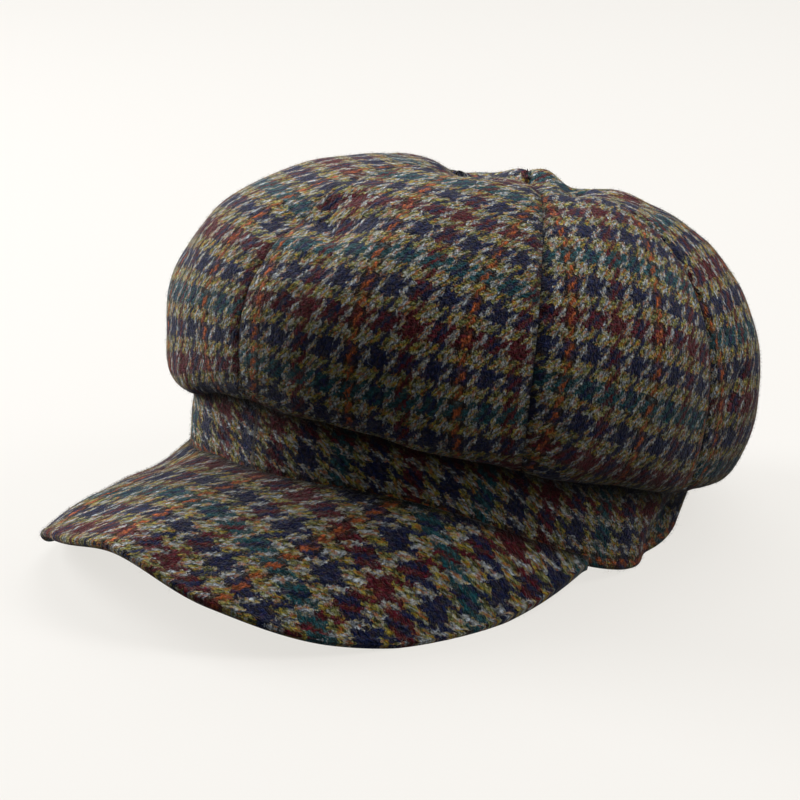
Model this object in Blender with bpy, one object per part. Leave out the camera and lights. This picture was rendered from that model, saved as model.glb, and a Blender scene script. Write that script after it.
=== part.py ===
"""A full-crowned cap of wool houndstooth: eight gored crown panels, a band and a stiffened peak.

Everything is drawn in the cap's own frame first: the head opening is centred on the origin, the
front looks along -Y and the mean rim plane is z = 0. The cap is then tipped back onto its peak and
the low sides of its rim, as it lies on a table by itself, and flattened where it touches.
"""

import math

import bmesh
import bpy
import numpy as np

# Head opening and rim, in metres
HEAD_HALF_WIDTH = 0.0861
HEAD_HALF_LENGTH = 0.1009
BAND_WALL = 0.0028
BAND_HEIGHT = 0.038
BAND_TUCK = 0.0119
RIM_WAVES = (0.0023, 0.0107, -0.0024, -0.0024)
SEAM_GAP = 0.0003

# Crown
PANELS = 8
CLOTH_WALL = 0.0022
CROWN_HALF_WIDTH = 0.1003
CROWN_HALF_LENGTH = 0.1191
CROWN_BACK_FULLNESS = 0.0035
CROWN_CENTRE_Y = 0.0003
CROWN_TILT = math.radians(6.5)
WIDEST_HEIGHT = 0.0450
RISE = 0.0706
TOP_CENTRE_Y = 0.0270
TOP_HOLLOW_DEPTH = 0.0110
TOP_HOLLOW_RADIUS = 0.0329
SHOULDER_POWER = 2.56
SHOULDER_BACK_FULLNESS = 0.18
SIDE_POWER = 2.06
VALLEY_AT_TOP = 0.0022
VALLEY_AT_SIDE = 0.0030
PUFF_POWER = 0.72
TOP_POINT_TURN = 0.012
FOLD_POWER = 1.87
TURN_RADIUS = 0.0034
HEM_STEP = 0.002

# How far the crown's fold hangs below its widest line, around the head from the front to the back
HANG = (
    # angle from the front in degrees, hang in metres
    (0, 0.0248),
    (45, 0.0285),
    (90, 0.0321),
    (130, 0.0306),
    (155, 0.0258),
    (180, 0.0222),
)

# Peak
PEAK_HALF_ANGLE = math.radians(80.0)
PEAK_REACH = 0.0614
PEAK_CORNER_REACH = 0.0020
PEAK_ROUNDNESS = 2.61
PEAK_FORWARD = 0.58
PEAK_WALL = 0.0038
PEAK_BOW = 0.0024
PEAK_DROP = (
    # share of the way from the front to the corner, drop of the outer edge below the seam in metres
    (0.00, 0.0211),
    (0.25, 0.0320),
    (0.50, 0.0385),
    (0.75, 0.0285),
    (0.90, 0.0137),
    (1.00, 0.0016),
)

# How the cap lies
PITCH = math.radians(8.0)
PRESSED_FLAT = 0.0012

# Fineness of the faceted solids
COLUMNS = 10
TOP_ROWS = 13
FOLD_ROWS = 6
TURN_ROWS = 3
BAND_SECTIONS = 72
PEAK_SECTIONS = 40
PEAK_ROWS = 7
NOSE_ROWS = 4


def smooth_table(rows, at):
    """Value of a two-column table at each place, by a curve that is level at both ends."""
    places, values = np.array(rows, float).T
    step = np.diff(places)
    slope = np.diff(values) / step
    inner = (slope[:-1] * step[1:] + slope[1:] * step[:-1]) / (step[1:] + step[:-1])
    tangent = np.concatenate([[0.0], inner, [slope[-1] if places[-1] <= 1.0 else 0.0]])
    at = np.clip(np.asarray(at, float), places[0], places[-1])
    k = np.clip(np.searchsorted(places, at, side="right") - 1, 0, len(step) - 1)
    t = (at - places[k]) / step[k]
    start = (2 * t**3 - 3 * t**2 + 1) * values[k] + (t**3 - 2 * t**2 + t) * step[k] * tangent[k]
    end = (3 * t**2 - 2 * t**3) * values[k + 1] + (t**3 - t**2) * step[k] * tangent[k + 1]
    return start + end


def rim_height(angle):
    """Height of the line where the peak meets the band: up at the front and back, low at the temples."""
    return sum(wave * np.cos((n + 1) * angle) for n, wave in enumerate(RIM_WAVES))


def head_ellipse(angle, out):
    """Plan point of the head opening at an angle from the front, moved outwards by out."""
    return (HEAD_HALF_WIDTH + out) * np.sin(angle), -(HEAD_HALF_LENGTH + out) * np.cos(angle)


def band_top(angle):
    """Height of the band's top edge, which keeps one distance above its bottom edge."""
    return rim_height(angle) - PEAK_WALL + BAND_HEIGHT


def widest_line(angle, valley):
    """Plan point of the crown's widest line, drawn in towards the top centre by the seam's valley."""
    length = CROWN_HALF_LENGTH - CROWN_BACK_FULLNESS * np.cos(angle)
    x = CROWN_HALF_WIDTH * np.sin(angle)
    y = CROWN_CENTRE_Y - length * np.cos(angle) - TOP_CENTRE_Y
    keep = 1 - valley / np.hypot(x, y)
    return x * keep, TOP_CENTRE_Y + y * keep


def crown_tilt(y):
    return -math.tan(CROWN_TILT) * (y - CROWN_CENTRE_Y)


def seam_angles():
    """Angles at which the seams, spread evenly round the top centre, cross the widest line."""
    angle = np.linspace(0, 2 * math.pi, 721)
    x, y = widest_line(angle, 0.0)
    turn = np.unwrap(np.arctan2(x, TOP_CENTRE_Y - y))
    return np.interp(np.linspace(0, 2 * math.pi, PANELS + 1), turn, angle)


def valley_share(angle):
    """1 on a seam and 0 in the middle of a panel, falling away steeply beside the seam."""
    phase = np.interp(angle, seam_angles(), math.pi * np.arange(PANELS + 1))
    return 1 - np.abs(np.sin(phase)) ** PUFF_POWER


def crown_top(angle, turn, inset):
    """Crown from the top centre, turn 0, over the shoulder to its widest line, turn 90 degrees.

    The profile is the curve r^a + h^b = 1, hollowed round the top centre and drawn in on the seams.
    """
    out = np.sin(turn)
    shoulder = SHOULDER_POWER - SHOULDER_BACK_FULLNESS * np.cos(angle)
    up = np.maximum(1 - out**shoulder, 0) ** (1 / SIDE_POWER)
    seam = valley_share(angle)
    edge_x, edge_y = widest_line(angle, VALLEY_AT_SIDE * seam * out + inset)
    x = edge_x * out
    y = TOP_CENTRE_Y + (edge_y - TOP_CENTRE_Y) * out
    radius = np.hypot(x, y - TOP_CENTRE_Y)
    dip = TOP_HOLLOW_DEPTH * np.exp(-((radius / TOP_HOLLOW_RADIUS) ** 2))
    pinch = VALLEY_AT_TOP * seam * up * np.clip(radius / TOP_HOLLOW_RADIUS, 0, 1)
    z = WIDEST_HEIGHT + (RISE - inset) * up - dip - pinch
    return np.stack([x, y, z + crown_tilt(y)], -1)


def fold_frame(angle, inset):
    """Foot of the fold on the band's face, its outward direction and its width out to the widest line."""
    foot_x, foot_y = head_ellipse(angle, SEAM_GAP)
    edge_x, edge_y = widest_line(angle, VALLEY_AT_SIDE * valley_share(angle) + inset)
    width = np.hypot(edge_x - foot_x, edge_y - foot_y)
    return foot_x, foot_y, (edge_x - foot_x) / width, (edge_y - foot_y) / width, width


def crown_fold(angle, turn, inset):
    """Crown from its widest line, turn 0, down to the bottom of its fold, turn 90 degrees.

    The profile is a quarter of a rounded square, across^n + down^n = 1.
    """
    foot_x, foot_y, out_x, out_y, width = fold_frame(angle, inset)
    across = np.maximum(np.cos(turn), 0) ** (2 / FOLD_POWER)
    down = np.sin(turn) ** (2 / FOLD_POWER)
    reach = TURN_RADIUS + (width - TURN_RADIUS) * across
    x = foot_x + out_x * reach
    y = foot_y + out_y * reach
    hang = smooth_table(HANG, np.degrees(np.abs(np.angle(np.exp(1j * angle)))))
    z = WIDEST_HEIGHT - (hang - inset) * down
    return np.stack([x, y, z + crown_tilt(y)], -1)


def crown_return(angle, turn, inset):
    """Crown from the bottom of its fold, turn 0, round to stand against the band, turn 90 degrees."""
    foot_x, foot_y, out_x, out_y, _ = fold_frame(angle, inset)
    bottom = crown_fold(angle, np.full_like(angle, math.pi / 2), 0.0)[..., 2]
    reach = TURN_RADIUS - (TURN_RADIUS - inset) * np.sin(turn)
    z = bottom + TURN_RADIUS - (TURN_RADIUS - inset) * np.cos(turn)
    return np.stack([foot_x + out_x * reach, foot_y + out_y * reach, z], -1)


def crown_hem(angle, inset):
    """Crown's cut edge, standing against the band's face just under its top."""
    foot_x, foot_y, out_x, out_y, _ = fold_frame(angle, inset)
    turned_up = crown_return(angle, np.full_like(angle, math.pi / 2), 0.0)[..., 2]
    z = np.maximum(band_top(angle), turned_up + 2 * HEM_STEP) - HEM_STEP
    return np.stack([foot_x + out_x * inset, foot_y + out_y * inset, z], -1)


def crown_surface(angles, inset):
    """Rows of crown points from the top centre to the hem, one column for each angle."""
    quarter = math.pi / 2
    rows = []
    for turn in np.linspace(TOP_POINT_TURN, quarter, TOP_ROWS):
        rows.append(crown_top(angles, np.full_like(angles, turn), inset))
    for turn in np.linspace(0, quarter, FOLD_ROWS)[1:]:
        rows.append(crown_fold(angles, np.full_like(angles, turn), inset))
    for turn in np.linspace(0, quarter, TURN_ROWS)[1:]:
        rows.append(crown_return(angles, np.full_like(angles, turn), inset))
    rows.append(crown_hem(angles, inset))
    return np.array(rows)


def panel_sections(number):
    """Closed cross-sections of one crown panel, from the top centre to the hem."""
    sides = seam_angles()[number : number + 2]
    angles = np.linspace(*sides, COLUMNS + 1)
    outer = crown_surface(angles, 0.0)
    inner = crown_surface(angles, CLOTH_WALL)
    # Each panel stops half a gap short of the upright plane that runs through its seam
    share = np.linspace(1, -1, COLUMNS + 1)
    for side, part in zip(sides, (share.clip(0, 1), -share.clip(-1, 0))):
        along = np.array(widest_line(side, 0.0)) - (0.0, TOP_CENTRE_Y)
        along /= math.hypot(*along)
        away = np.array([-along[1], along[0]]) * (1 if side == sides[0] else -1)
        for grid in (outer, inner):
            grid[..., :2] += away * SEAM_GAP / 2 * part[:, None]
    return np.concatenate([outer, inner[:, ::-1]], axis=1)


def band_sections():
    """Closed cross-sections of the band, all the way round the head."""
    angle = np.linspace(0, 2 * math.pi, BAND_SECTIONS, endpoint=False)
    low = rim_height(angle) - PEAK_WALL
    high = band_top(angle)
    corner = BAND_WALL * 0.3
    profile = (
        (0, high),
        (0, low + corner),
        (-corner, low),
        (corner - BAND_WALL, low),
        (-BAND_WALL, low + corner),
        (-BAND_WALL, high),
    )
    points = []
    for out, z in profile:
        # The band's lower edge draws in round the back of the head
        tuck = BAND_TUCK * np.clip(-np.cos(angle), 0, 1) * (high - z) / BAND_HEIGHT
        points.append(np.stack([*head_ellipse(angle, out - tuck), z], -1))
    return np.array(points).transpose(1, 0, 2)


def peak_sections():
    """Closed cross-sections of the peak, from one temple round the front to the other."""
    share = np.linspace(-1, 1, PEAK_SECTIONS + 1)
    angle = share * PEAK_HALF_ANGLE
    start_x, start_y = head_ellipse(angle, SEAM_GAP)
    out_x = np.sin(angle) / HEAD_HALF_WIDTH
    out_y = -np.cos(angle) / HEAD_HALF_LENGTH
    size = np.hypot(out_x, out_y)
    out_x = (1 - PEAK_FORWARD) * out_x / size
    out_y = (1 - PEAK_FORWARD) * out_y / size - PEAK_FORWARD
    size = np.hypot(out_x, out_y)
    out_x, out_y = out_x / size, out_y / size
    reach = PEAK_CORNER_REACH + PEAK_REACH * (1 - np.abs(share) ** PEAK_ROUNDNESS)
    drop = smooth_table(PEAK_DROP, np.abs(share))
    radius = np.minimum(PEAK_WALL / 2, reach * 0.45)
    flat = reach - radius
    top_edge = rim_height(angle) - drop * flat / reach
    bow = PEAK_BOW * flat / flat.max()
    points = []
    for step in np.linspace(0, 1, PEAK_ROWS):
        height = rim_height(angle) - drop * flat / reach * step + bow * math.sin(math.pi * step)
        points.append((flat * step, height))
    for turn in np.linspace(0, math.pi, NOSE_ROWS + 2)[1:-1]:
        height = top_edge - PEAK_WALL / 2 * (1 - math.cos(turn))
        points.append((flat + radius * math.sin(turn), height))
    for across, height in points[PEAK_ROWS - 1 :: -1]:
        points.append((across, height - PEAK_WALL))
    sections = [np.stack([start_x + out_x * r, start_y + out_y * r, z], -1) for r, z in points]
    return np.array(sections).transpose(1, 0, 2)


def tip_back(points):
    """Tips the cap's front up by the pitch."""
    x, y, z = np.moveaxis(points, -1, 0)
    level = y * math.cos(PITCH) + z * math.sin(PITCH)
    upright = z * math.cos(PITCH) - y * math.sin(PITCH)
    return np.stack([x, level, upright], -1)


def loft(name, sections, ring):
    """A closed solid through cross-sections that all have the same, even number of points."""
    count, size = sections.shape[:2]
    mesh = bmesh.new()
    rows = [[mesh.verts.new(point) for point in section] for section in sections.tolist()]
    for i in range(count if ring else count - 1):
        here, there = rows[i], rows[(i + 1) % count]
        for j in range(size):
            k = (j + 1) % size
            mesh.faces.new((here[j], here[k], there[k], there[j]))
    if not ring:
        for row in (rows[0], rows[-1]):
            for j in range(size // 2 - 1):
                mesh.faces.new((row[j], row[j + 1], row[size - 2 - j], row[size - 1 - j]))
    bmesh.ops.recalc_face_normals(mesh, faces=mesh.faces)
    data = bpy.data.meshes.new(name)
    mesh.to_mesh(data)
    mesh.free()
    data.shade_smooth()
    data.set_sharp_from_angle(angle=math.radians(40))
    return data


def cloth_material(name, colour):
    material = bpy.data.materials.new(name)
    material.use_nodes = True
    shader = material.node_tree.nodes["Principled BSDF"]
    shader.inputs["Base Color"].default_value = (*colour, 1)
    shader.inputs["Roughness"].default_value = 0.95
    shader.inputs["Metallic"].default_value = 0.0
    return material


def add_piece(collection, name, sections, ring, colour):
    piece = bpy.data.objects.new(name, loft(name, sections, ring))
    piece.data.materials.append(cloth_material(name, colour))
    collection.objects.link(piece)


for old in list(bpy.data.objects):
    bpy.data.objects.remove(old, do_unlink=True)

cap = bpy.data.collections.new("cap")
bpy.context.scene.collection.children.link(cap)

pieces = {f"crown_panel_{n + 1}": tip_back(panel_sections(n)) for n in range(PANELS)}
pieces["band"] = tip_back(band_sections())
pieces["peak"] = tip_back(peak_sections())

# Middle of the cap over the origin, and its lowest cloth pressed flat on z = 0
everything = np.concatenate([points.reshape(-1, 3) for points in pieces.values()])
lowest, highest = everything.min(axis=0), everything.max(axis=0)
place = np.array([0.0, -(lowest[1] + highest[1]) / 2, -(lowest[2] + PRESSED_FLAT)])
colours = {"band": (0.085, 0.080, 0.070), "peak": (0.100, 0.090, 0.078)}
for name, points in pieces.items():
    points = points + place
    points[..., 2] = points[..., 2].clip(0, None)
    add_piece(cap, name, points, name == "band", colours.get(name, (0.110, 0.100, 0.086)))
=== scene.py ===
import math

import bpy
import numpy as np
from mathutils import Matrix, Vector


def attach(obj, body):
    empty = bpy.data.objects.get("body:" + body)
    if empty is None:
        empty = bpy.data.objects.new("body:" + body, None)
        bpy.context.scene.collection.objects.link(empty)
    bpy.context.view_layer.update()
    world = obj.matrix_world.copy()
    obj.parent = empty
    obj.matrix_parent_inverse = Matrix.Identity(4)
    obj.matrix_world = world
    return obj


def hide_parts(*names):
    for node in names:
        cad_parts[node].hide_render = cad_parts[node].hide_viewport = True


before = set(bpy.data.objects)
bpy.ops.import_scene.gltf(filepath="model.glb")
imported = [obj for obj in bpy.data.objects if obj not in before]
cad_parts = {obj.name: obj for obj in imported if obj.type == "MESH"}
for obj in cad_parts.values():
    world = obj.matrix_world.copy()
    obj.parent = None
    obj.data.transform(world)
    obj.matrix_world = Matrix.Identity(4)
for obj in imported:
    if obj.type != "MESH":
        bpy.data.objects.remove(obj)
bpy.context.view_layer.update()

# Crown panels. The real crown is eight gores of heavy woollen houndstooth, sewn edge to edge. The seams
# draw in, so each gore puffs out between them, and at its foot the crown folds under and in to the band.

# Sizes are in metres. The cap is drawn level, as it is worn, with angles counted from its front in plan,
# and is then tipped back and set down where it lies.
CHECK_WIDE, CHECK_HIGH = 0.0094, 0.0128  # one check across and along the cloth
HEAD_HALF_WIDTH, HEAD_HALF_LENGTH = 0.0861, 0.1009  # of the band's outer face
BAND_HEIGHT, PEAK_WALL = 0.038, 0.0038
RIM_WAVES = (0.0023, 0.0107, -0.0024, -0.0024)  # one to four waves round the rim
PANELS = 8
CLOTH_WALL = 0.0022
SEAM_GAP = 0.0003
CROWN_HALF_WIDTH, CROWN_HALF_LENGTH = 0.1003, 0.1191
CROWN_BACK_FULLNESS = 0.0035
CROWN_CENTRE_Y, TOP_CENTRE_Y = 0.0003, 0.0270
TOP_CENTRE = np.array([0.0, TOP_CENTRE_Y])
TOP_START = 0.012  # the gores' points stop just short of the top centre
CROWN_TILT = math.radians(6.5)
WIDEST_HEIGHT, RISE = 0.0450, 0.0706
TOP_HOLLOW_DEPTH, TOP_HOLLOW_RADIUS = 0.0110, 0.0329
SHOULDER_POWER, SHOULDER_BACK_FULLNESS, SIDE_POWER = 2.56, 0.18, 2.06
VALLEY_AT_TOP, VALLEY_AT_SIDE, PUFF_POWER = 0.0022, 0.0030, 0.72
FRONT_SEAM_SLACK, FRONT_SEAM_REACH = 0.72, 0.40  # share, and angle in radians
FOLD_POWER, TURN_RADIUS, HEM_STEP = 1.87, 0.0034, 0.002
# angle from the front in degrees, how far the fold hangs below the widest line
HANG = ((0, 0.0248), (45, 0.0285), (90, 0.0321), (130, 0.0306), (155, 0.0258), (180, 0.0222))
PITCH = math.radians(8.0)
PLACE = np.array([0.0, 0.0200626, 0.01872817])  # where the middle of the head opening comes to lie


def smooth_table(rows, at, level_end=True):
    """Cubic curve through a two-column table, level at its start and, unless told otherwise, at its end.

    Its slope at an inner row is the mean of the slopes on both sides, in which the nearer side counts more.
    """
    places, values = np.array(rows, float).T
    step = np.diff(places)
    slope = np.diff(values) / step
    inner = (slope[:-1] * step[1:] + slope[1:] * step[:-1]) / (step[1:] + step[:-1])
    tangent = np.concatenate([[0.0], inner, [0.0 if level_end else slope[-1]]])
    at = np.clip(np.asarray(at, float), places[0], places[-1])
    k = np.clip(np.searchsorted(places, at, side="right") - 1, 0, len(step) - 1)
    t = (at - places[k]) / step[k]
    start = (2 * t**3 - 3 * t**2 + 1) * values[k] + (t**3 - 2 * t**2 + t) * step[k] * tangent[k]
    return start + (3 * t**2 - 2 * t**3) * values[k + 1] + (t**3 - t**2) * step[k] * tangent[k + 1]


def bell(distance, width):
    """1 in the middle, fading outwards as exp(-(distance / width)^2)."""
    return np.exp(-((distance / width) ** 2))


def from_front(angle):
    """The same angle, brought to within half a turn of the front."""
    return np.angle(np.exp(1j * angle))


def rim_height(angle):
    """Height of the rim: a sum of cosine waves, high at the front and back and low at the temples."""
    return sum(wave * np.cos((n + 1) * angle) for n, wave in enumerate(RIM_WAVES))


def head_ellipse(angle, out):
    """Plan point of an ellipse round the head, moved outwards by out."""
    return (HEAD_HALF_WIDTH + out) * np.sin(angle), -(HEAD_HALF_LENGTH + out) * np.cos(angle)


def widest_line(angle, valley):
    """Plan point of the crown's widest line, an ellipse fuller at the back, drawn in by the valley."""
    length = CROWN_HALF_LENGTH - CROWN_BACK_FULLNESS * np.cos(angle)
    x = CROWN_HALF_WIDTH * np.sin(angle)
    y = CROWN_CENTRE_Y - length * np.cos(angle) - TOP_CENTRE_Y
    keep = 1 - valley / np.hypot(x, y)
    return x * keep, TOP_CENTRE_Y + y * keep


def fold_hang(angle):
    """How far the fold hangs below the widest line, from its table."""
    return smooth_table(HANG, np.degrees(np.abs(from_front(angle))))


def seam_angles():
    """Angles at which the seams, spread evenly round the top centre, cross the widest line."""
    half_degrees = np.linspace(0, 2 * math.pi, 721)
    x, y = widest_line(half_degrees, 0.0)
    turn = np.unwrap(np.arctan2(x, TOP_CENTRE_Y - y))
    return np.interp(np.linspace(0, 2 * math.pi, PANELS + 1), turn, half_degrees)


def seam_share(angle):
    """1 on a seam and 0 in mid panel: one less |sine of half a turn per panel| to a power under one."""
    phase = np.interp(angle, seam_angles(), math.pi * np.arange(PANELS + 1))
    return 1 - np.abs(np.sin(phase)) ** PUFF_POWER


def seam_firmness(angle):
    """How firmly a seam draws in: 1 less a bell round the front, where the seam lies nearly flat."""
    return 1 - FRONT_SEAM_SLACK * bell(from_front(angle), FRONT_SEAM_REACH)


def crown_rows(angle, rows):
    """Crown from its top centre over the shoulder, down the fold and round its foot to the band's face.

    The top follows out^a + up^b = 1, the fold across^n + down^n = 1, and the foot a quarter circle. The
    hem goes on up the band to just under its top. Rows are counted over the top, the fold and the foot.
    """
    tilt = math.tan(CROWN_TILT)
    seam = seam_share(angle) * seam_firmness(angle)
    turn = np.linspace(TOP_START, math.pi / 2, rows[0])[:, None]
    out = np.sin(turn)
    shoulder = SHOULDER_POWER - SHOULDER_BACK_FULLNESS * np.cos(angle)
    up = np.maximum(1 - out**shoulder, 0) ** (1 / SIDE_POWER)
    edge_x, edge_y = widest_line(angle, VALLEY_AT_SIDE * seam * out)
    x = edge_x * out
    y = TOP_CENTRE_Y + (edge_y - TOP_CENTRE_Y) * out
    radius = np.hypot(x, y - TOP_CENTRE_Y)
    dip = TOP_HOLLOW_DEPTH * bell(radius, TOP_HOLLOW_RADIUS)
    pinch = VALLEY_AT_TOP * seam * up * np.clip(radius / TOP_HOLLOW_RADIUS, 0, 1)
    z = WIDEST_HEIGHT + RISE * up - dip - pinch - tilt * (y - CROWN_CENTRE_Y)
    top = np.stack([x, y, z], -1)

    foot_x, foot_y = head_ellipse(angle, SEAM_GAP)
    edge_x, edge_y = widest_line(angle, VALLEY_AT_SIDE * seam)
    width = np.hypot(edge_x - foot_x, edge_y - foot_y)
    out_x, out_y = (edge_x - foot_x) / width, (edge_y - foot_y) / width
    turn = np.linspace(0, math.pi / 2, rows[1])[1:, None]
    across = np.maximum(np.cos(turn), 0) ** (2 / FOLD_POWER)
    down = np.sin(turn) ** (2 / FOLD_POWER)
    reach = TURN_RADIUS + (width - TURN_RADIUS) * across
    x, y = foot_x + out_x * reach, foot_y + out_y * reach
    z = WIDEST_HEIGHT - fold_hang(angle) * down - tilt * (y - CROWN_CENTRE_Y)
    fold = np.stack([x, y, z], -1)

    turn = np.linspace(0, math.pi / 2, rows[2])[1:, None]
    reach = TURN_RADIUS * (1 - np.sin(turn))
    z = fold[-1, :, 2] + TURN_RADIUS * (1 - np.cos(turn))
    foot = np.stack([foot_x + out_x * reach, foot_y + out_y * reach, z], -1)
    band_top = rim_height(angle) - PEAK_WALL + BAND_HEIGHT
    hem = np.stack([foot_x, foot_y, np.maximum(band_top, z[-1] + 2 * HEM_STEP) - HEM_STEP], -1)
    return np.concatenate([top, fold, foot, hem[None]])


def outward(grid):
    """Unit normals of a grid of points: its two central differences crossed."""
    down, along = np.gradient(grid, axis=0), np.gradient(grid, axis=1)
    normal = np.cross(down, along)
    return normal / np.maximum(np.linalg.norm(normal, axis=-1, keepdims=True), 1e-12)


def running_length(line):
    """Distance from the first point of a line to each of its points, along the line."""
    return np.concatenate([[0], np.linalg.norm(np.diff(line, axis=0), axis=-1).cumsum()])


def lie_down(points):
    """Tips points drawn on the level cap back by its pitch, and sets them where the cap lies."""
    x, y, z = np.moveaxis(points, -1, 0)
    back = y * math.cos(PITCH) + z * math.sin(PITCH)
    high = z * math.cos(PITCH) - y * math.sin(PITCH)
    return np.stack([x, back, high], -1) + PLACE


def above_table(points):
    """Points with those under the table lifted on to it."""
    return np.maximum(points, (-np.inf, -np.inf, 0))


def gentle_lumps(points, lots):
    """Height of smooth lumps, summed over lots of a height, a size and a seed.

    Each lot is its height times the mean of four crossed sine waves about its size apart, turned by its seed.
    """
    total = 0
    for high, size, seed in lots:
        turns = np.random.default_rng(seed).normal(size=(4, 3))
        turns *= 2 * math.pi / size / np.linalg.norm(turns, axis=1, keepdims=True)
        phases = np.random.default_rng(seed + 1).uniform(0, 2 * math.pi, 4)
        total = total + high * np.sin(points @ turns.T + phases).mean(axis=-1)
    return total


def dents(points, marks):
    """Depth pressed in at each point: for each mark, its depth times a bell of the distance from its line."""
    depth = np.zeros(points.shape[:-1])
    for start, end, wide, deep in marks:
        start, run = np.array(start), np.subtract(end, start)
        part = ((points - start) @ run / (run @ run)).clip(0, 1)
        off = np.linalg.norm(points - start - part[..., None] * run, axis=-1)
        depth += deep * bell(off, wide)
    return depth


def cloth_mesh(name, corners, faces, places, cloth):
    """A piece of cloth with the weave's own place in its UV map and the painted shade on its points.

    A point's place is across the cloth, along it, and its painted shade: 1 in full light and less where the
    cloth lies deep in a seam or crease.
    """
    mesh = bpy.data.meshes.new(name)
    mesh.from_pydata(corners, [], faces)
    weave = mesh.uv_layers.new(name="weave")
    weave.data.foreach_set("uv", places[faces.reshape(-1), :2].reshape(-1))
    mesh.attributes.new("shade", "FLOAT", "POINT").data.foreach_set("value", places[:, 2].copy())
    mesh.materials.append(cloth)
    piece = bpy.data.objects.new(name, mesh)
    bpy.context.scene.collection.objects.link(piece)
    return piece


def cloth_shell(name, outer, inner, places, cloth, ring=False):
    """A closed wall between an outer and an inner grid of points, which may close in a ring.

    Each section runs along the outer grid and back along the inner, and faces join it to the next one.
    """
    rows, columns = outer.shape[:2]
    if ring:
        size, count = 2 * rows, columns
        sections = np.concatenate([outer, inner[::-1]]).transpose(1, 0, 2)
        places = np.concatenate([places, places[::-1]]).transpose(1, 0, 2)
    else:
        size, count = 2 * columns, rows
        sections = np.concatenate([outer, inner[:, ::-1]], axis=1)
        places = np.concatenate([places, places[:, ::-1]], axis=1)
    here = np.arange(count if ring else count - 1)[:, None] * size
    there = (here + size) % (count * size)
    j = np.arange(size)
    k = (j + 1) % size
    faces = np.stack([here + j, here + k, there + k, there + j], -1).reshape(-1, 4)
    if not ring:
        j = np.arange(size // 2 - 1)
        cap = np.stack([j, j + 1, size - 2 - j, size - 1 - j], -1)
        faces = np.concatenate([faces, cap[:, ::-1], cap + (count - 1) * size])
    corners = sections.reshape(-1, 3)
    # The faces are turned round if the volume they enclose comes out below nothing
    a, b, c, d = corners[faces].transpose(1, 0, 2)
    volume = np.einsum("ij,ij->i", a, np.cross(b, c)) + np.einsum("ij,ij->i", a, np.cross(c, d))
    if volume.sum() < 0:
        faces = faces[:, ::-1]
    piece = cloth_mesh(name, corners, faces, places.reshape(-1, 3), cloth)
    piece.data.shade_smooth()
    return piece


# The nap: milling teases fine loose fibres out of the cloth, and each stays fast at its root
FIBRE_STATIONS = 4
FIBRE_LENGTHS, FIBRE_RISES = (0.0012, 0.0034), (0.0002, 0.0008)
FIBRE_SWEEP, FIBRE_ARC = 0.45, 0.8 * math.pi
FIBRE_HALF_WIDTH, FIBRE_TAPER = 0.000035, 0.8


def fibres(cloth, places, count, seed):
    """Flat ribbons of fibre on a grid of cloth, each with the weave's place and painted shade at its root.

    A fibre leaves its root along the cloth, rises as a sine arc and sweeps sideways with the square of
    its length.
    """
    pick = np.random.default_rng(seed)
    down, right = np.diff(cloth, axis=0)[:, :-1], np.diff(cloth, axis=1)[:-1]
    normal = np.cross(down, right)
    area = np.linalg.norm(normal, axis=-1)
    cell = pick.choice(area.size, count, p=(area / area.sum()).reshape(-1))
    i, j = np.divmod(cell, area.shape[1])
    shares = pick.uniform(size=(2, count))
    root = cloth[i, j] + down[i, j] * shares[0][:, None] + right[i, j] * shares[1][:, None]
    normal = normal[i, j] / area[i, j][:, None]
    way = pick.normal(size=(count, 3))
    way -= (way * normal).sum(-1)[:, None] * normal
    way /= np.linalg.norm(way, axis=1)[:, None]
    side = np.cross(normal, way)
    length = pick.uniform(*FIBRE_LENGTHS, count)[:, None, None]
    rise = pick.uniform(*FIBRE_RISES, count)[:, None, None]
    sweep = pick.normal(0, FIBRE_SWEEP, count)[:, None, None] * length
    t = np.linspace(0, 1, FIBRE_STATIONS)[None, :, None]
    spine = root[:, None] + way[:, None] * length * t + normal[:, None] * rise * np.sin(t * FIBRE_ARC)
    spine = spine + side[:, None] * sweep * t**2
    half = side[:, None] * FIBRE_HALF_WIDTH * (1 - FIBRE_TAPER * t)
    ribbon = np.stack([spine - half, spine + half], axis=2)
    return ribbon, np.broadcast_to(places[i, j][:, None, None], ribbon.shape)


def nap_piece(name, lots, cloth):
    """One mesh from several lots of fibres, with a face between each station and the next."""
    points, places = (np.concatenate(parts).reshape(-1, 3) for parts in zip(*lots))
    roots = np.arange(0, len(points), 2 * FIBRE_STATIONS)[:, None]
    start = (roots + 2 * np.arange(FIBRE_STATIONS - 1)).reshape(-1)
    faces = np.stack([start, start + 1, start + 3, start + 2], -1)
    return cloth_mesh(name, above_table(points), faces, places, cloth)


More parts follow.
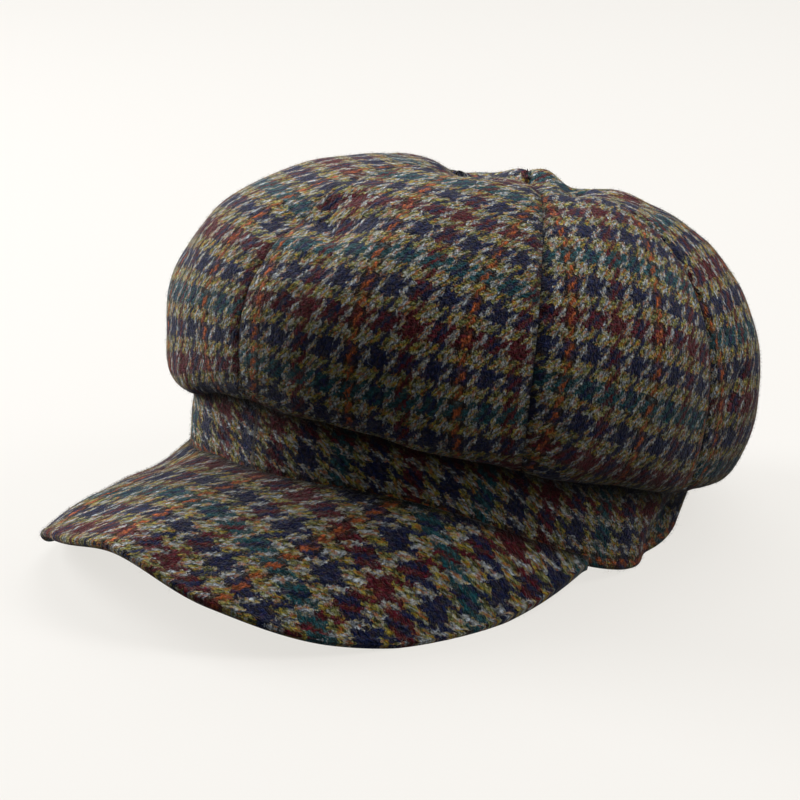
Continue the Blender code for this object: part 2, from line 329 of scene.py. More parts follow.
class Strand:
    """One value, colour or vector on its way through a material. Arithmetic adds Math nodes."""

    def __init__(self, socket):
        self.socket = socket

    def node(self, kind, settings=None, feeds=None, output=0):
        """Adds a node, makes its settings, fills its sockets from feeds and gives one of its outputs."""
        made = self.socket.id_data.nodes.new(kind)
        for setting, value in (settings or {}).items():
            if setting == "stops":
                ramp = made.color_ramp
                ramp.interpolation = "CONSTANT"
                for n, (place, colour) in enumerate(value):
                    stop = ramp.elements[n] if n < 1 else ramp.elements.new(place)
                    stop.position, stop.color = place, (*colour, 1)
                ramp.elements.remove(ramp.elements[-1])
            else:
                setattr(made, setting, value)
        for place, value in (feeds or {}).items():
            if isinstance(value, Strand):
                self.socket.id_data.links.new(value.socket, made.inputs[place])
            else:
                made.inputs[place].default_value = value
        return Strand(made.outputs[output])

    def beside(self, output):
        """Another output of the node that this one comes from."""
        return Strand(self.socket.node.outputs[output])

    def math(self, operation, *values):
        """A Math node on this value and the others."""
        feeds = dict(enumerate((self, *values)))
        return self.node("ShaderNodeMath", {"operation": operation}, feeds)

    def __add__(self, other):
        return self.math("ADD", other)

    __radd__ = __add__

    def __sub__(self, other):
        return self.math("SUBTRACT", other)

    def __rsub__(self, other):
        return self.math("MULTIPLY_ADD", -1.0, other)

    def __mul__(self, other):
        return self.math("MULTIPLY", other)

    __rmul__ = __mul__

    def __mod__(self, other):
        return self.math("FLOORED_MODULO", other)

    def __gt__(self, other):
        return self.math("GREATER_THAN", other)

    def ranged(self, low, high, least, most):
        """This value brought from low to high into least to most, and kept between them."""
        return self.node("ShaderNodeMapRange", None, {0: self, 1: low, 2: high, 3: least, 4: most})

    def mixed(self, other, share):
        """This colour turned into another by a share from 0 to 1."""
        return self.node("ShaderNodeMix", {"data_type": "RGBA"}, {0: share, 6: self, 7: other}, 2)

    def scaled(self, amount):
        """This colour or vector times a value."""
        feeds = {0: self, "Scale": amount}
        return self.node("ShaderNodeVectorMath", {"operation": "SCALE"}, feeds)


# Yarn colours: the dark stripes, the rust threads laid in one of them, the light stripes, and the flecks
NAVY, TEAL = (0.0028, 0.0058, 0.0270), (0.0032, 0.0340, 0.0430)
MAROON, SOOT = (0.0430, 0.0028, 0.0070), (0.0090, 0.0045, 0.0045)
RUST = (0.180, 0.040, 0.010)
ASH, MOSS = (0.150, 0.166, 0.182), (0.080, 0.084, 0.028)
MUSTARD, CREAM, BRACKEN = (0.235, 0.165, 0.013), (0.235, 0.245, 0.225), (0.195, 0.052, 0.012)

THREADS, REPEAT = 8, 4  # threads in a check, checks in a repeat of the stripes
STRIPE_LEAD = 0.36  # in threads
DARK_OF_CHECK, DARK_OF_REPEAT = 0.59, 0.147  # the share of each that a dark stripe takes
RUST_FROM, RUST_TO = 0.040, 0.106  # as shares of the repeat
RUST_VEIL = 0.10
THREAD_ROUNDNESS, THREAD_LIFT = 0.75, 0.35
# how far the twill's order, the threads' heights and stray fibres each decide which yarn shows
TWILL_HOLD, HEIGHT_HOLD, FIBRE_STRAY, WARP_LEAD = 1.5, 0.4, 2.2, 0.28
SECOND_TWILL = 0.45  # its share in the mix
SLANT = -0.72  # in radians
DARK_SPECKLE = 0.4  # against 1 in the light yarn
FLECKS_IN_DARK, FLECKS_IN_LIGHT = 0.06, 0.82
THREAD_RELIEF, FIBRE_RELIEF, NAP_RELIEF = 0.8, 0.6, 2.0


def houndstooth(name, plain_colour):
    """Four dark threads then four light, both ways, in a 2/2 twill, with the map's unit as one check.

    A warp thread's height is a cosine hump across it times a slow cosine along it that tops where it
    floats, and a weft thread's is the same the other way. The higher of the two is the one that shows.
    The twill is worked out twice, at places pushed apart by fine noise, and mixed, as napped wool does.
    """
    material = bpy.data.materials.new(name)
    material.use_nodes = True
    material.diffuse_color = (*plain_colour, 1)
    shader = material.node_tree.nodes["Principled BSDF"]
    start = Strand(shader.inputs["Roughness"])
    place = start.node("ShaderNodeUVMap", {"uv_map": "weave"})

    # The napped fibres lie slantwise, the way the twill runs
    turned = {"Vector": place, "Angle": SLANT}
    slanted = start.node("ShaderNodeVectorRotate", {"rotation_type": "Z_AXIS"}, turned)

    def noise(scale, detail, seed, stretch=(1, 1), on=place, threefold=False):
        """Flat noise with features of about 1 / scale of a check, packed closer each way by stretch.

        Threefold noise is a colour, three lots in one.
        """
        scales = (scale * stretch[0], scale * stretch[1], 1)
        feeds = {"Vector": on, "Location": (seed, -seed, 0), "Scale": scales}
        moved = start.node("ShaderNodeMapping", None, feeds)
        feeds = {"Vector": moved, "Scale": 1.0, "Detail": detail, "Roughness": 0.6}
        return start.node("ShaderNodeTexNoise", {"noise_dimensions": "2D"}, feeds, int(threefold))

    def pushed(point, amount, scale, detail, seed):
        """The point moved each way by noise, up to about half the amount, in checks."""
        push = noise(scale, detail, seed, threefold=True)
        middle = start.node("ShaderNodeVectorMath", {"operation": "SUBTRACT"}, {0: push, 1: (0.5,) * 3})
        feeds = {0: middle, 1: (amount,) * 3, 2: point}
        return start.node("ShaderNodeVectorMath", {"operation": "MULTIPLY_ADD"}, feeds)

    def thread_height(over, line, travel, lag):
        """Height of a thread: a hump across it, times a wave along it that tops where it floats."""
        hump = ((over - line - 0.5) * math.pi).math("COSINE")
        floats = ((travel - lag) * (math.pi / 2)).math("COSINE") * 0.5 + 0.5
        return hump * THREAD_ROUNDNESS * floats + floats * THREAD_LIFT

    def share_of(line, checks):
        """How far a count of threads has come through so many checks, from 0 to 1."""
        return ((line + STRIPE_LEAD) * (1 / (THREADS * checks))) % 1.0

    def stripes(line, order):
        """A colour for each stripe of the repeat, the dark ones a little wider than the light."""
        share = share_of(line, REPEAT)
        return share.node("ShaderNodeValToRGB", {"stops": order}, {0: share})

    def light_yarn(line):
        """1 on the light stripes and 0 on the dark."""
        return share_of(line, 1) > DARK_OF_CHECK

    def striped(darks, light):
        """The order of a repeat: a dark stripe at the start of each check, then the light one."""
        starts = [(n / REPEAT, dark) for n, dark in enumerate(darks)]
        return [stop for at, dark in starts for stop in ((at, dark), (at + DARK_OF_REPEAT, light))]

    warp_stripes = striped((SOOT, NAVY, MAROON, NAVY), ASH)
    warp_stripes[1:1] = (RUST_FROM, RUST), (RUST_TO, SOOT)
    weft_stripes = striped((NAVY, TEAL, NAVY, MAROON), MOSS)
    warp_grain = noise(scale=6.5, detail=1.0, seed=3.1, stretch=(1.8, 0.8))
    weft_grain = noise(scale=6.5, detail=1.0, seed=7.7, stretch=(0.8, 1.8))

    def twill(point):
        """Colour, height, share of warp and share of light yarn at a point of the cloth."""
        parts = point.node("ShaderNodeSeparateXYZ", None, {0: point})
        across, along = parts * THREADS, parts.beside(1) * THREADS
        warp, weft = across.math("FLOOR"), along.math("FLOOR")
        warp_height = thread_height(across, warp, along, warp)
        weft_height = thread_height(along, weft, across, weft + 3.0)
        diagonal = ((along - across + 0.5) * (math.pi / 2)).math("COSINE")
        over = diagonal * TWILL_HOLD + (warp_height - weft_height) * HEIGHT_HOLD
        over = over + (warp_grain - weft_grain) * FIBRE_STRAY + WARP_LEAD
        over = over.node("ShaderNodeClamp", None, {0: over})
        light = light_yarn(across) * over + light_yarn(along) * (1.0 - over)
        colour = stripes(along, weft_stripes).mixed(stripes(across, warp_stripes), over)
        # Fibres of the rust threads also veil the picks that cross them
        line = share_of(across, REPEAT)
        veil = (line > RUST_FROM) * (1.0 - (line > RUST_TO)) * RUST_VEIL
        return colour.mixed((*RUST, 1), veil), warp_height.math("MAXIMUM", weft_height), over, light

    settled = pushed(place, amount=0.22, scale=0.9, detail=1.0, seed=0.0)
    settled = pushed(settled, amount=0.26, scale=5.0, detail=2.0, seed=1.3)
    first = twill(pushed(settled, amount=0.15, scale=10.0, detail=1.0, seed=5.9))
    second = twill(pushed(settled, amount=0.26, scale=10.0, detail=1.0, seed=9.4))
    colour = first[0].mixed(second[0], SECOND_TWILL)
    pairs = zip(first[1:], second[1:])
    height, over, light = (one * (1 - SECOND_TWILL) + two * SECOND_TWILL for one, two in pairs)

    # Paler and darker fibres run along whichever yarn shows
    grain = warp_grain * over + weft_grain * (1.0 - over)
    level = grain.ranged(low=0.36, high=0.66, least=0.40, most=1.45)
    speckle = noise(scale=7.5, detail=1.5, seed=21.7, stretch=(0.55, 1.45), on=slanted)
    speckle = speckle.ranged(low=0.38, high=0.62, least=-0.75, most=0.45)
    level = level * (speckle * (light * (1 - DARK_SPECKLE) + DARK_SPECKLE) + 1.0)
    colour = colour.scaled(level)

    # Tweed flecks, many in the light yarn and few in the dark
    fleck = noise(scale=6.0, detail=1.5, seed=13.3, stretch=(0.65, 1.6), on=slanted, threefold=True)
    fleck = start.node("ShaderNodeSeparateColor", None, {0: fleck})
    amount = light * FLECKS_IN_LIGHT + FLECKS_IN_DARK
    fleck_kinds = (MUSTARD, 0.53, 0.62), (CREAM, 0.55, 0.65), (BRACKEN, 0.57, 0.65)
    for channel, (fleck_colour, low, high) in enumerate(fleck_kinds):
        share = fleck.beside(channel).ranged(low, high, least=0.0, most=0.75)
        colour = colour.mixed((*fleck_colour, 1), share * amount)

    # Painted shade: the cloth is darkened between its threads and a little lightened on their tops,
    # and darkened further by the painted shade on its points where it lies in a seam or crease
    shade = height.ranged(low=0.25, high=0.90, least=0.55, most=1.15)
    shade = shade * start.node("ShaderNodeAttribute", {"attribute_name": "shade"}, None, 2)
    colour = colour.scaled(shade)

    nap = noise(scale=2.4, detail=1.0, seed=27.1)
    relief = height * THREAD_RELIEF + (warp_grain + weft_grain) * FIBRE_RELIEF + nap * NAP_RELIEF
    bump = start.node("ShaderNodeBump", None, {"Strength": 0.9, "Distance": 0.0010, "Height": relief})
    material.node_tree.links.new(colour.socket, shader.inputs["Base Color"])
    material.node_tree.links.new(bump.socket, shader.inputs["Normal"])
    shader.inputs["Roughness"].default_value = 0.92
    shader.inputs["Specular IOR Level"].default_value = 0.07
    shader.inputs["Sheen Weight"].default_value = 0.05
    shader.inputs["Sheen Roughness"].default_value = 0.40
    return material


# Columns of a gore, and its rows over the top, the fold and the foot
COLUMNS, CROWN_GRID = 70, (104, 40, 10)
SIDE_CROWDING = 0.6  # how much closer the columns stand beside the seams
SEAM_STANDOFF = 0.00002  # of a gore's side from its seam plane
SEAM_TUCK, SEAM_TUCK_WIDTH = 0.0010, 0.0018
# the stitches' puckers: height, pitch along the seam, and where from the seam they fade out and begin
PUCKER, PUCKER_PITCH, PUCKER_REACH, PUCKER_START = 0.0004, 0.0085, 0.005, 0.0012
CROWN_LUMPS = ((0.0009, 0.045, 5), (0.0004, 0.018, 9))  # height, size and seed
LUMPS_FROM_SEAM = 0.008
# painted shade: its strength at the seams, its share of that where a seam lies slack, and its width; then its
# strength and width in the crease above the band
SEAM_SHADE, SLACK_SEAM_SHADE, SEAM_SHADE_WIDTH = 0.45, 0.4, 0.0016
CREASE_SHADE, CREASE_SHADE_WIDTH = 0.93, 0.0112
GORE_FIBRES, FIRST_GORE_SEED = 3900, 40
# how each gore was cut: lean of the cloth in degrees, then its shift across and along, in checks
GORE_CUTS = (
    (0, 1.0, 3.1), (7, 1.8, 0.35), (-4, 0.4, 1.3), (3, 2.7, 2.2),
    (0, 1.6, 3.4), (5, 3.2, 0.7), (-3, 0.9, 2.6), (-4, 2.1, 1.75),
)
# dents, and with a minus bulges, of the settled cloth: from one point to another, then width and depth
CROWN_DENTS = (
    ((-0.0260, 0.0515, 0.1020), (-0.0205, 0.0565, 0.1025), 0.0080, -0.0046),  # far lobe of the back
    ((-0.0460, 0.0380, 0.1037), (-0.0330, 0.0390, 0.1050), 0.0090, 0.0022),  # outside it
    ((-0.0140, 0.0640, 0.1025), (-0.0150, 0.0700, 0.1010), 0.0060, 0.0022),  # between the lobes
    ((0.0030, 0.0600, 0.1025), (0.0120, 0.0630, 0.1025), 0.0090, -0.0017),  # near lobe
    ((0.0140, -0.0240, 0.1130), (-0.0280, 0.0220, 0.1060), 0.0100, 0.0042),  # hollow across the top
    ((0.0400, 0.0045, 0.1100), (-0.0060, 0.0570, 0.1030), 0.0050, 0.0024),  # crease behind the top
    ((0.0046, -0.0825, 0.1008), (0.0182, -0.0948, 0.0928), 0.0030, 0.0016),  # tucks by the front seam
    ((0.0100, -0.0775, 0.1034), (0.0200, -0.0700, 0.1060), 0.0035, 0.0012),
    ((0.0909, 0.0467, 0.0516), (0.0934, 0.0396, 0.0434), 0.0035, 0.0016),  # tuck at the left side
    ((-0.0520, -0.0880, 0.0320), (-0.0380, -0.0980, 0.0320), 0.0110, -0.0035),  # fold, front right
    ((-0.0485, -0.0984, 0.0706), (-0.0605, -0.0848, 0.0790), 0.0120, 0.0022),  # flat place above it
    ((0.0160, -0.0260, 0.1140), (0.0220, -0.0200, 0.1130), 0.0070, 0.0014),  # front of the top
    ((0.0710, 0.0650, 0.0772), (0.0850, 0.0550, 0.0600), 0.0150, -0.0013),  # left shoulder
    ((-0.0040, -0.0928, 0.0945), (0.0200, -0.0884, 0.0970), 0.0095, 0.0032),  # front brow
    ((0.0000, -0.1050, 0.0800), (0.0200, -0.1020, 0.0830), 0.0060, 0.0014),
    ((0.0000, -0.0735, 0.1045), (0.0200, -0.0700, 0.1060), 0.0070, -0.0010),
)


def into_gore(side, turn):
    """Plan direction square to a seam's upright plane through the top centre, into the gore."""
    edge = np.array(widest_line(side, 0.0)) - TOP_CENTRE
    edge /= math.hypot(*edge)
    return np.array([-edge[1], edge[0]]) * turn


def hold_at_seams(wall, inwards):
    """Moves a gore's two side columns on to their seam planes, and keeps the rest from crossing them."""
    for column, away in zip((0, -1), inwards):
        short = np.maximum(SEAM_STANDOFF - (wall[..., :2] - TOP_CENTRE) @ away, 0)
        short[:, column] = SEAM_STANDOFF - (wall[:, column, :2] - TOP_CENTRE) @ away
        wall[..., :2] += short[..., None] * away


crown_cloth = houndstooth("crown_cloth", (0.11, 0.10, 0.086))
crown_lots = []

for number, (lean, shift_across, shift_along) in enumerate(GORE_CUTS):
    sides = seam_angles()[number : number + 2]
    share = np.linspace(-1, 1, COLUMNS + 1)
    share = np.sin(share * math.pi / 2) * SIDE_CROWDING + share * (1 - SIDE_CROWDING)
    angle = sides.mean() + share * (sides[1] - sides[0]) / 2
    outer = crown_rows(angle, CROWN_GRID)
    rows = len(outer)
    inwards = [into_gore(side, turn) for side, turn in zip(sides, (1, -1))]
    distance = np.min([(outer[..., :2] - TOP_CENTRE) @ away for away in inwards], axis=0).clip(0, None)

    width = np.linalg.norm(np.diff(outer, axis=1), axis=-1)
    across = np.concatenate([np.zeros((rows, 1)), width.cumsum(axis=1)], axis=1)
    across -= across[:, COLUMNS // 2][:, None]
    along = -running_length(outer[:, COLUMNS // 2])[:, None]
    # A thread laid straight across the flat gore dips where the gore widens and rises where it narrows
    widening = np.gradient(across[:, -1]) / np.gradient(-along[:, 0]) / across[:, -1]
    along = along + across**2 * widening[:, None] / 2

    firm = seam_firmness(angle)
    tuck = SEAM_TUCK * firm * bell(distance, SEAM_TUCK_WIDTH)
    pucker = PUCKER * np.sin(along * 2 * math.pi / PUCKER_PITCH + number) * np.exp(-distance / PUCKER_REACH)
    pucker *= 1 - bell(distance, PUCKER_START)
    lumps = gentle_lumps(outer, CROWN_LUMPS) * np.clip(distance / LUMPS_FROM_SEAM, 0, 1)
    hem_fade = np.clip((rows - 1 - np.arange(rows)) / CROWN_GRID[2], 0, 1)[:, None]
    raised = (lumps + pucker - tuck - dents(outer, CROWN_DENTS)) * hem_fade
    # On a seam both gores are drawn in along the seam's own plane, so they stay together
    normal = outward(outer)
    for column, away in zip((0, -1), inwards):
        normal[:, column, :2] -= (normal[:, column, :2] @ away)[:, None] * away
    outer = outer + normal * raised[..., None]
    inner = outer - outward(outer) * CLOTH_WALL
    hold_at_seams(outer, inwards)
    hold_at_seams(inner, inwards)

    turned = math.radians(lean)
    u = (across * math.cos(turned) - along * math.sin(turned)) / CHECK_WIDE + shift_across
    v = (across * math.sin(turned) + along * math.cos(turned)) / CHECK_HIGH + shift_along
    # Painted shade: the cloth is darkened along the seams and in the crease above the band, where little
    # light reaches
    below = np.linalg.norm(np.diff(outer, axis=0), axis=-1)[::-1].cumsum(axis=0)[::-1]
    below = np.concatenate([below, 0 * below[:1]])
    seam_shade = SEAM_SHADE * (SLACK_SEAM_SHADE + (1 - SLACK_SEAM_SHADE) * firm)
    shade = 1 - seam_shade * bell(distance, SEAM_SHADE_WIDTH)
    shade = shade * (1 - CREASE_SHADE * bell(below, CREASE_SHADE_WIDTH))
    places = np.stack([u, v, shade], -1)
    gore = cloth_shell(f"gore_{number + 1}", lie_down(outer), lie_down(inner), places, crown_cloth)
    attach(gore, "root")
    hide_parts(f"crown_panel_{number + 1}")
    crown_lots.append(fibres(lie_down(outer), places, GORE_FIBRES, FIRST_GORE_SEED + number))

nap = nap_piece("crown_nap", crown_lots, crown_cloth)
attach(nap, "root")

# Band. The real band is an upright strip of the same cloth, cut lengthwise and doubled, that fits round
# the head. Its folded lower edge shows below the crown, and the peak is sewn under it at the front.

BAND_WALL, BAND_EDGE, BAND_TUCK, BAND_SWELL = 0.0028, 0.0013, 0.0119, 0.0006
BAND_COLUMNS, BAND_ROWS, EDGE_ROWS = 480, 44, 5
BAND_LUMPS = ((0.0007, 0.03, 21), (0.0003, 0.012, 22))
BAND_DENTS = (
    ((0.0810, 0.0260, -0.0110), (0.0766, 0.0380, -0.0010), 0.0110, 0.0052),  # foot, at the left
    ((-0.0407, -0.0888, 0.0080), (-0.0393, -0.0897, 0.0271), 0.0180, -0.0020),  # front right
)
# painted shade on the band: how far under the crown's foot it starts and how soft its edge is; then along the
# peak's seam, its strength, its height, where it ends round the front and how soft that end is
CROWN_SHADE_DROP, CROWN_SHADE_BLUR = 0.0034, 0.0012
PEAK_SEAM_SHADE, PEAK_SEAM_SHADE_HEIGHT = 0.85, 0.0026
PEAK_SEAM_END, PEAK_SEAM_BLUR = math.cos(math.radians(76)), 0.03
BAND_FIBRES, BAND_SEED = 11000, 51


def down_to_foot(grid):
    """The grid with its last row repeated for each row of the folded edge."""
    return np.concatenate([grid, np.repeat(grid[-1:], EDGE_ROWS, axis=0)])


# The outer face swells a little, leans in at the back, and rounds in at the folded edge by a quarter circle
angle = np.linspace(0, 2 * math.pi, BAND_COLUMNS, endpoint=False)
share = np.linspace(0, 1, BAND_ROWS)[:, None]
low = rim_height(angle) - PEAK_WALL
z = low + BAND_EDGE + (BAND_HEIGHT - BAND_EDGE) * (1 - share)
tuck = BAND_TUCK * np.clip(-np.cos(angle), 0, 1) * share
swell = BAND_SWELL * np.sin(share * math.pi)
outer = np.stack([*head_ellipse(angle, swell - tuck), z], -1)
raised = gentle_lumps(outer, BAND_LUMPS) * np.sin(share * math.pi) - dents(outer, BAND_DENTS)
bulge = outward(outer) * raised[..., None]
turn = np.linspace(0, math.pi / 2, EDGE_ROWS + 1)[1:, None]
rounding = BAND_EDGE * (1 - np.cos(turn))
edge_z = low + BAND_EDGE * (1 - np.sin(turn))
foot = np.stack([*head_ellipse(angle, -tuck[-1] - rounding), edge_z], -1)
outer = np.concatenate([outer + bulge, foot + bulge[-1]])
inner_out = np.concatenate([np.full((BAND_ROWS, 1), -BAND_WALL), -BAND_WALL + rounding])
inner = np.stack([*head_ellipse(angle, inner_out - down_to_foot(tuck)), outer[..., 2]], -1)
inner[..., :2] += down_to_foot(bulge)[..., :2]

# The cloth's length runs round the band
down = -running_length(outer[:, 0])[:, None]
around = running_length(outer[BAND_ROWS // 2])
u, v = np.broadcast_arrays(down / CHECK_WIDE, -around / CHECK_HIGH)
# Painted shade: the band's top is darkened under the crown's foot, and the foot of its front along the peak's
# seam
crown_foot = WIDEST_HEIGHT - fold_hang(angle) - math.tan(CROWN_TILT) * (outer[0, :, 1] - CROWN_CENTRE_Y)
depth = crown_foot - CROWN_SHADE_DROP - outer[..., 2]
shade = 1 - CREASE_SHADE / (1 + np.exp(depth / CROWN_SHADE_BLUR))
front = 1 / (1 + np.exp(-(np.cos(angle) - PEAK_SEAM_END) / PEAK_SEAM_BLUR))
shade *= 1 - PEAK_SEAM_SHADE * front * bell(outer[..., 2] - low, PEAK_SEAM_SHADE_HEIGHT)
places = np.stack([u, v, shade], -1)

band_cloth = houndstooth("band_cloth", (0.085, 0.08, 0.07))
outer, inner = lie_down(outer), lie_down(inner)
band = cloth_shell("head_band", above_table(outer), above_table(inner), places, band_cloth, ring=True)
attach(band, "root")
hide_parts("band")
nap = nap_piece("band_nap", [fibres(outer, places, BAND_FIBRES, BAND_SEED)], band_cloth)
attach(nap, "root")

# Peak. The real peak is a stiff board with the same cloth wrapped round its curved edge, top and bottom.
# It is sewn in under the band, bows down at both sides and stands forward over the eyes.

PEAK_HALF_ANGLE = math.radians(80.0)
PEAK_REACH, PEAK_CORNER_REACH, PEAK_ROUNDNESS = 0.0614, 0.0020, 2.61
PEAK_FORWARD, PEAK_BOW = 0.58, 0.0024
# share of the way from the front to the corner, drop of the outer edge below the seam
PEAK_DROP = ((0.00, 0.0211), (0.25, 0.0320), (0.50, 0.0385), (0.75, 0.0285), (0.90, 0.0137), (1.00, 0.0016))
NOSE_PART = 0.45  # the most of the reach that the rounded edge may take, at the corners
PEAK_COLUMNS, PEAK_ROWS, NOSE_ROWS = 260, 90, 14
PEAK_CHECK, PEAK_LEAN, PEAK_SHIFT = (0.0107, 0.0136), math.radians(8), (3.56, 3.50)
CORNER_STRETCH = 1.2  # how fast the check runs on, past where the board's middle line ends
PEAK_LUMPS, LUMP_FADE_ROWS = ((0.0004, 0.03, 31),), 8
# the wearer's right corner turns up a little more than the left, and dips beside the band
PEAK_DENTS = (
    ((-0.0430, -0.1010, 0.0030), (-0.0720, -0.0800, 0.0000), 0.0130, 0.0036),
    ((-0.0500, -0.1420, -0.0215), (-0.0450, -0.1560, -0.0240), 0.0240, -0.0048),
)
# how far the painted shade reaches out from the peak's seam with the band
PEAK_SHADE_WIDTH = 0.0030
PEAK_FIBRES, PEAK_SEED = 13000, 61

# It leaves the band between square to it and straight forward, and reaches less far towards the corners
share = np.linspace(-1, 1, PEAK_COLUMNS + 1)
angle = share * PEAK_HALF_ANGLE
start_x, start_y = head_ellipse(angle, SEAM_GAP)
out_x, out_y = np.sin(angle) / HEAD_HALF_WIDTH, -np.cos(angle) / HEAD_HALF_LENGTH
size = np.hypot(out_x, out_y)
out_x = (1 - PEAK_FORWARD) * out_x / size
out_y = (1 - PEAK_FORWARD) * out_y / size - PEAK_FORWARD
size = np.hypot(out_x, out_y)
out_x, out_y = out_x / size, out_y / size
reach = PEAK_CORNER_REACH + PEAK_REACH * (1 - np.abs(share) ** PEAK_ROUNDNESS)
drop = smooth_table(PEAK_DROP, np.abs(share), level_end=False)

# The top falls evenly to the edge, bows up on the way by a half sine, and is rounded by half an ellipse
radius = np.minimum(PEAK_WALL / 2, reach * NOSE_PART)
flat = reach - radius
step = np.linspace(0, 1, PEAK_ROWS)[:, None]
top_height = rim_height(angle) - drop * flat / reach * step
top_height = top_height + PEAK_BOW * flat / flat.max() * np.sin(math.pi * step)
turn = np.linspace(0, math.pi / 2, NOSE_ROWS)[1:, None]
nose_over = top_height[-1] - PEAK_WALL / 2 * (1 - np.cos(turn))
nose_under = top_height[-1] - PEAK_WALL / 2 * (1 + np.cos(turn))
over_reach = np.concatenate([flat * step, flat + radius * np.sin(turn)])
x, y = start_x + out_x * over_reach, start_y + out_y * over_reach
outer = np.stack([x, y, np.concatenate([top_height, nose_over])], -1)
inner = np.stack([x, y, np.concatenate([top_height - PEAK_WALL, nose_under])], -1)
rows = len(outer)

# The cloth lies flat across the board, so its threads run straight to the front
middle = outer[PEAK_ROWS // 2]
spread = running_length(middle[:, ::2])
spread -= spread[PEAK_COLUMNS // 2]
inside = x.clip(middle[0, 0], middle[-1, 0])
across = np.interp(inside, middle[:, 0], spread) + (x - inside) * CORNER_STRETCH
centre = outer[:, PEAK_COLUMNS // 2]
along = np.interp(y, centre[::-1, 1], -running_length(centre)[::-1])
along = np.where(y > centre[0, 1], y - centre[0, 1], along)
# Round the edge the cloth goes on outwards by the length of the turn
for chart, way in ((across, out_x), (along, out_y)):
    chart[PEAK_ROWS:] = chart[PEAK_ROWS - 1] + way * radius * turn
u = (across - along * math.tan(PEAK_LEAN)) / PEAK_CHECK[0] + PEAK_SHIFT[0]
v = along / PEAK_CHECK[1] + PEAK_SHIFT[1]
# Painted shade darkens the peak's cloth next to its seam with the band
places = np.stack([u, v, 1 - PEAK_SEAM_SHADE * bell(over_reach, PEAK_SHADE_WIDTH)], -1)

for wall in (outer, inner):
    wall[..., 2] -= dents(outer, PEAK_DENTS)
lumps = gentle_lumps(outer, PEAK_LUMPS)[..., None]
outer = outer + outward(outer) * lumps * np.clip(np.arange(rows) / LUMP_FADE_ROWS, 0, 1)[:, None, None]
outer, inner = above_table(lie_down(outer)), above_table(lie_down(inner))

peak_cloth = houndstooth("peak_cloth", (0.10, 0.09, 0.078))
peak = cloth_shell("peak_cover", outer, inner, places, peak_cloth)
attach(peak, "root")
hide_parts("peak")
nap = nap_piece("peak_nap", [fibres(outer, places, PEAK_FIBRES, PEAK_SEED)], peak_cloth)
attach(nap, "root")

# Table, lamps and camera. A plain pale table under a large soft lamp above and behind, one at each side
# and a weak one low in front, seen from the photograph's side: in front of the cap, to its wearer's left,
# from a little above.

TABLE_SIZE = 12
TABLE_COLOUR, TABLE_GLOW, TABLE_GLOW_STRENGTH = (0.04, 0.039, 0.038), (0.93, 0.905, 0.858), 0.79
STUDIO_BELOW, STUDIO_ABOVE = (0.11, 0.11, 0.112), (0.24, 0.236, 0.232)
CAP_MIDDLE = Vector((0, 0, 0.08))

bpy.ops.mesh.primitive_plane_add(size=TABLE_SIZE)
table = bpy.context.object
table.name = "table"
pale = bpy.data.materials.new("pale_table")
pale.use_nodes = True
surface = pale.node_tree.nodes["Principled BSDF"]
surface.inputs["Base Color"].default_value = (*TABLE_COLOUR, 1)
surface.inputs["Roughness"].default_value = 0.9
surface.inputs["Emission Color"].default_value = (*TABLE_GLOW, 1)
surface.inputs["Emission Strength"].default_value = TABLE_GLOW_STRENGTH
table.data.materials.append(pale)

# The table's own light stays off the cap, whose foot and band are dark in the photograph
table.visible_diffuse = False

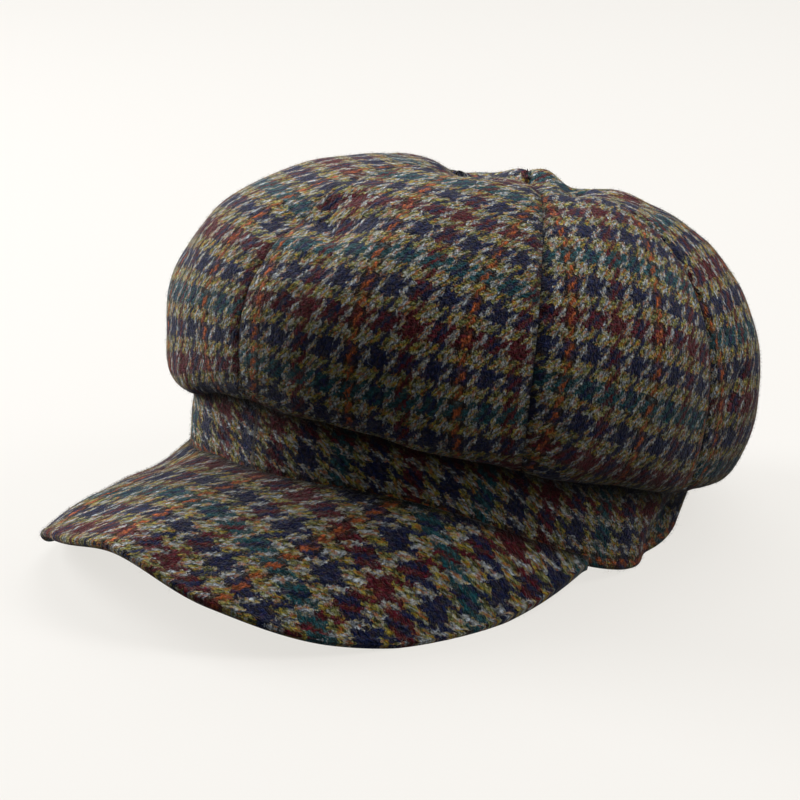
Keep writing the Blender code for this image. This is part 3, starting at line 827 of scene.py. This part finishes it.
# The studio is dim below and at eye level, and pale overhead
world = bpy.data.worlds.new("studio")
bpy.context.scene.world = world
world.use_nodes = True
studio = world.node_tree.nodes["Background"]
studio.inputs["Strength"].default_value = 1.0
direction = Strand(studio.inputs["Color"]).node("ShaderNodeTexCoord")
upwards = direction.node("ShaderNodeSeparateXYZ", None, {0: direction}, output=2)
upwards = upwards.ranged(low=-0.1, high=1.0, least=0.0, most=1.0)
feeds = {0: upwards, 6: (*STUDIO_BELOW, 1), 7: (*STUDIO_ABOVE, 1)}
sky = upwards.node("ShaderNodeMix", {"data_type": "RGBA"}, feeds, output=2)
world.node_tree.links.new(sky.socket, studio.inputs["Color"])


def soft_light(name, place, size, power):
    """A square lamp facing the cap."""
    lamp = bpy.data.lights.new(name, "AREA")
    lamp.size, lamp.energy = size, power
    piece = bpy.data.objects.new(name, lamp)
    bpy.context.scene.collection.objects.link(piece)
    piece.location = place
    piece.rotation_euler = (CAP_MIDDLE - piece.location).to_track_quat("-Z", "Y").to_euler()


soft_light("overhead", place=(-0.34, 0.66, 1.30), size=1.3, power=37)
soft_light("left_side", place=(-1.44, -0.36, 0.64), size=0.8, power=70)
soft_light("right_side", place=(0.95, 0.75, 1.25), size=0.8, power=26)
soft_light("front_fill", place=(0.55, -1.30, 0.22), size=0.6, power=2.5)
bpy.context.scene.view_settings.view_transform = "Standard"

CAMERA_PLACE = np.array([0.8822, -0.9106, 0.4245])
CAMERA_RIGHT = np.array([0.7229, 0.6908, 0.0140])
CAMERA_UP = np.array([-0.2180, 0.2088, 0.9533])
FOCAL_PIXELS, PICTURE_PIXELS, SENSOR_MILLIMETRES = 3679, 800, 36
# how far right of the picture's middle, and below it, the middle of the head opening is seen
PIXELS_RIGHT, PIXELS_DOWN = 49.94, 70.11

toward = (PLACE - CAMERA_PLACE) / np.linalg.norm(PLACE - CAMERA_PLACE)
toward = toward - CAMERA_RIGHT * PIXELS_RIGHT / FOCAL_PIXELS + CAMERA_UP * PIXELS_DOWN / FOCAL_PIXELS
toward /= np.linalg.norm(toward)
right = CAMERA_RIGHT - toward * (CAMERA_RIGHT @ toward)
right /= np.linalg.norm(right)
up = np.cross(right, toward)
lens = bpy.data.cameras.new("camera")
lens.lens = FOCAL_PIXELS / PICTURE_PIXELS * SENSOR_MILLIMETRES
lens.sensor_width = SENSOR_MILLIMETRES
camera = bpy.data.objects.new("camera", lens)
bpy.context.scene.collection.objects.link(camera)
pose = np.eye(4)
pose[:3, 0], pose[:3, 1], pose[:3, 2], pose[:3, 3] = right, up, -toward, CAMERA_PLACE
camera.matrix_world = Matrix(pose.tolist())
bpy.context.scene.camera = camera
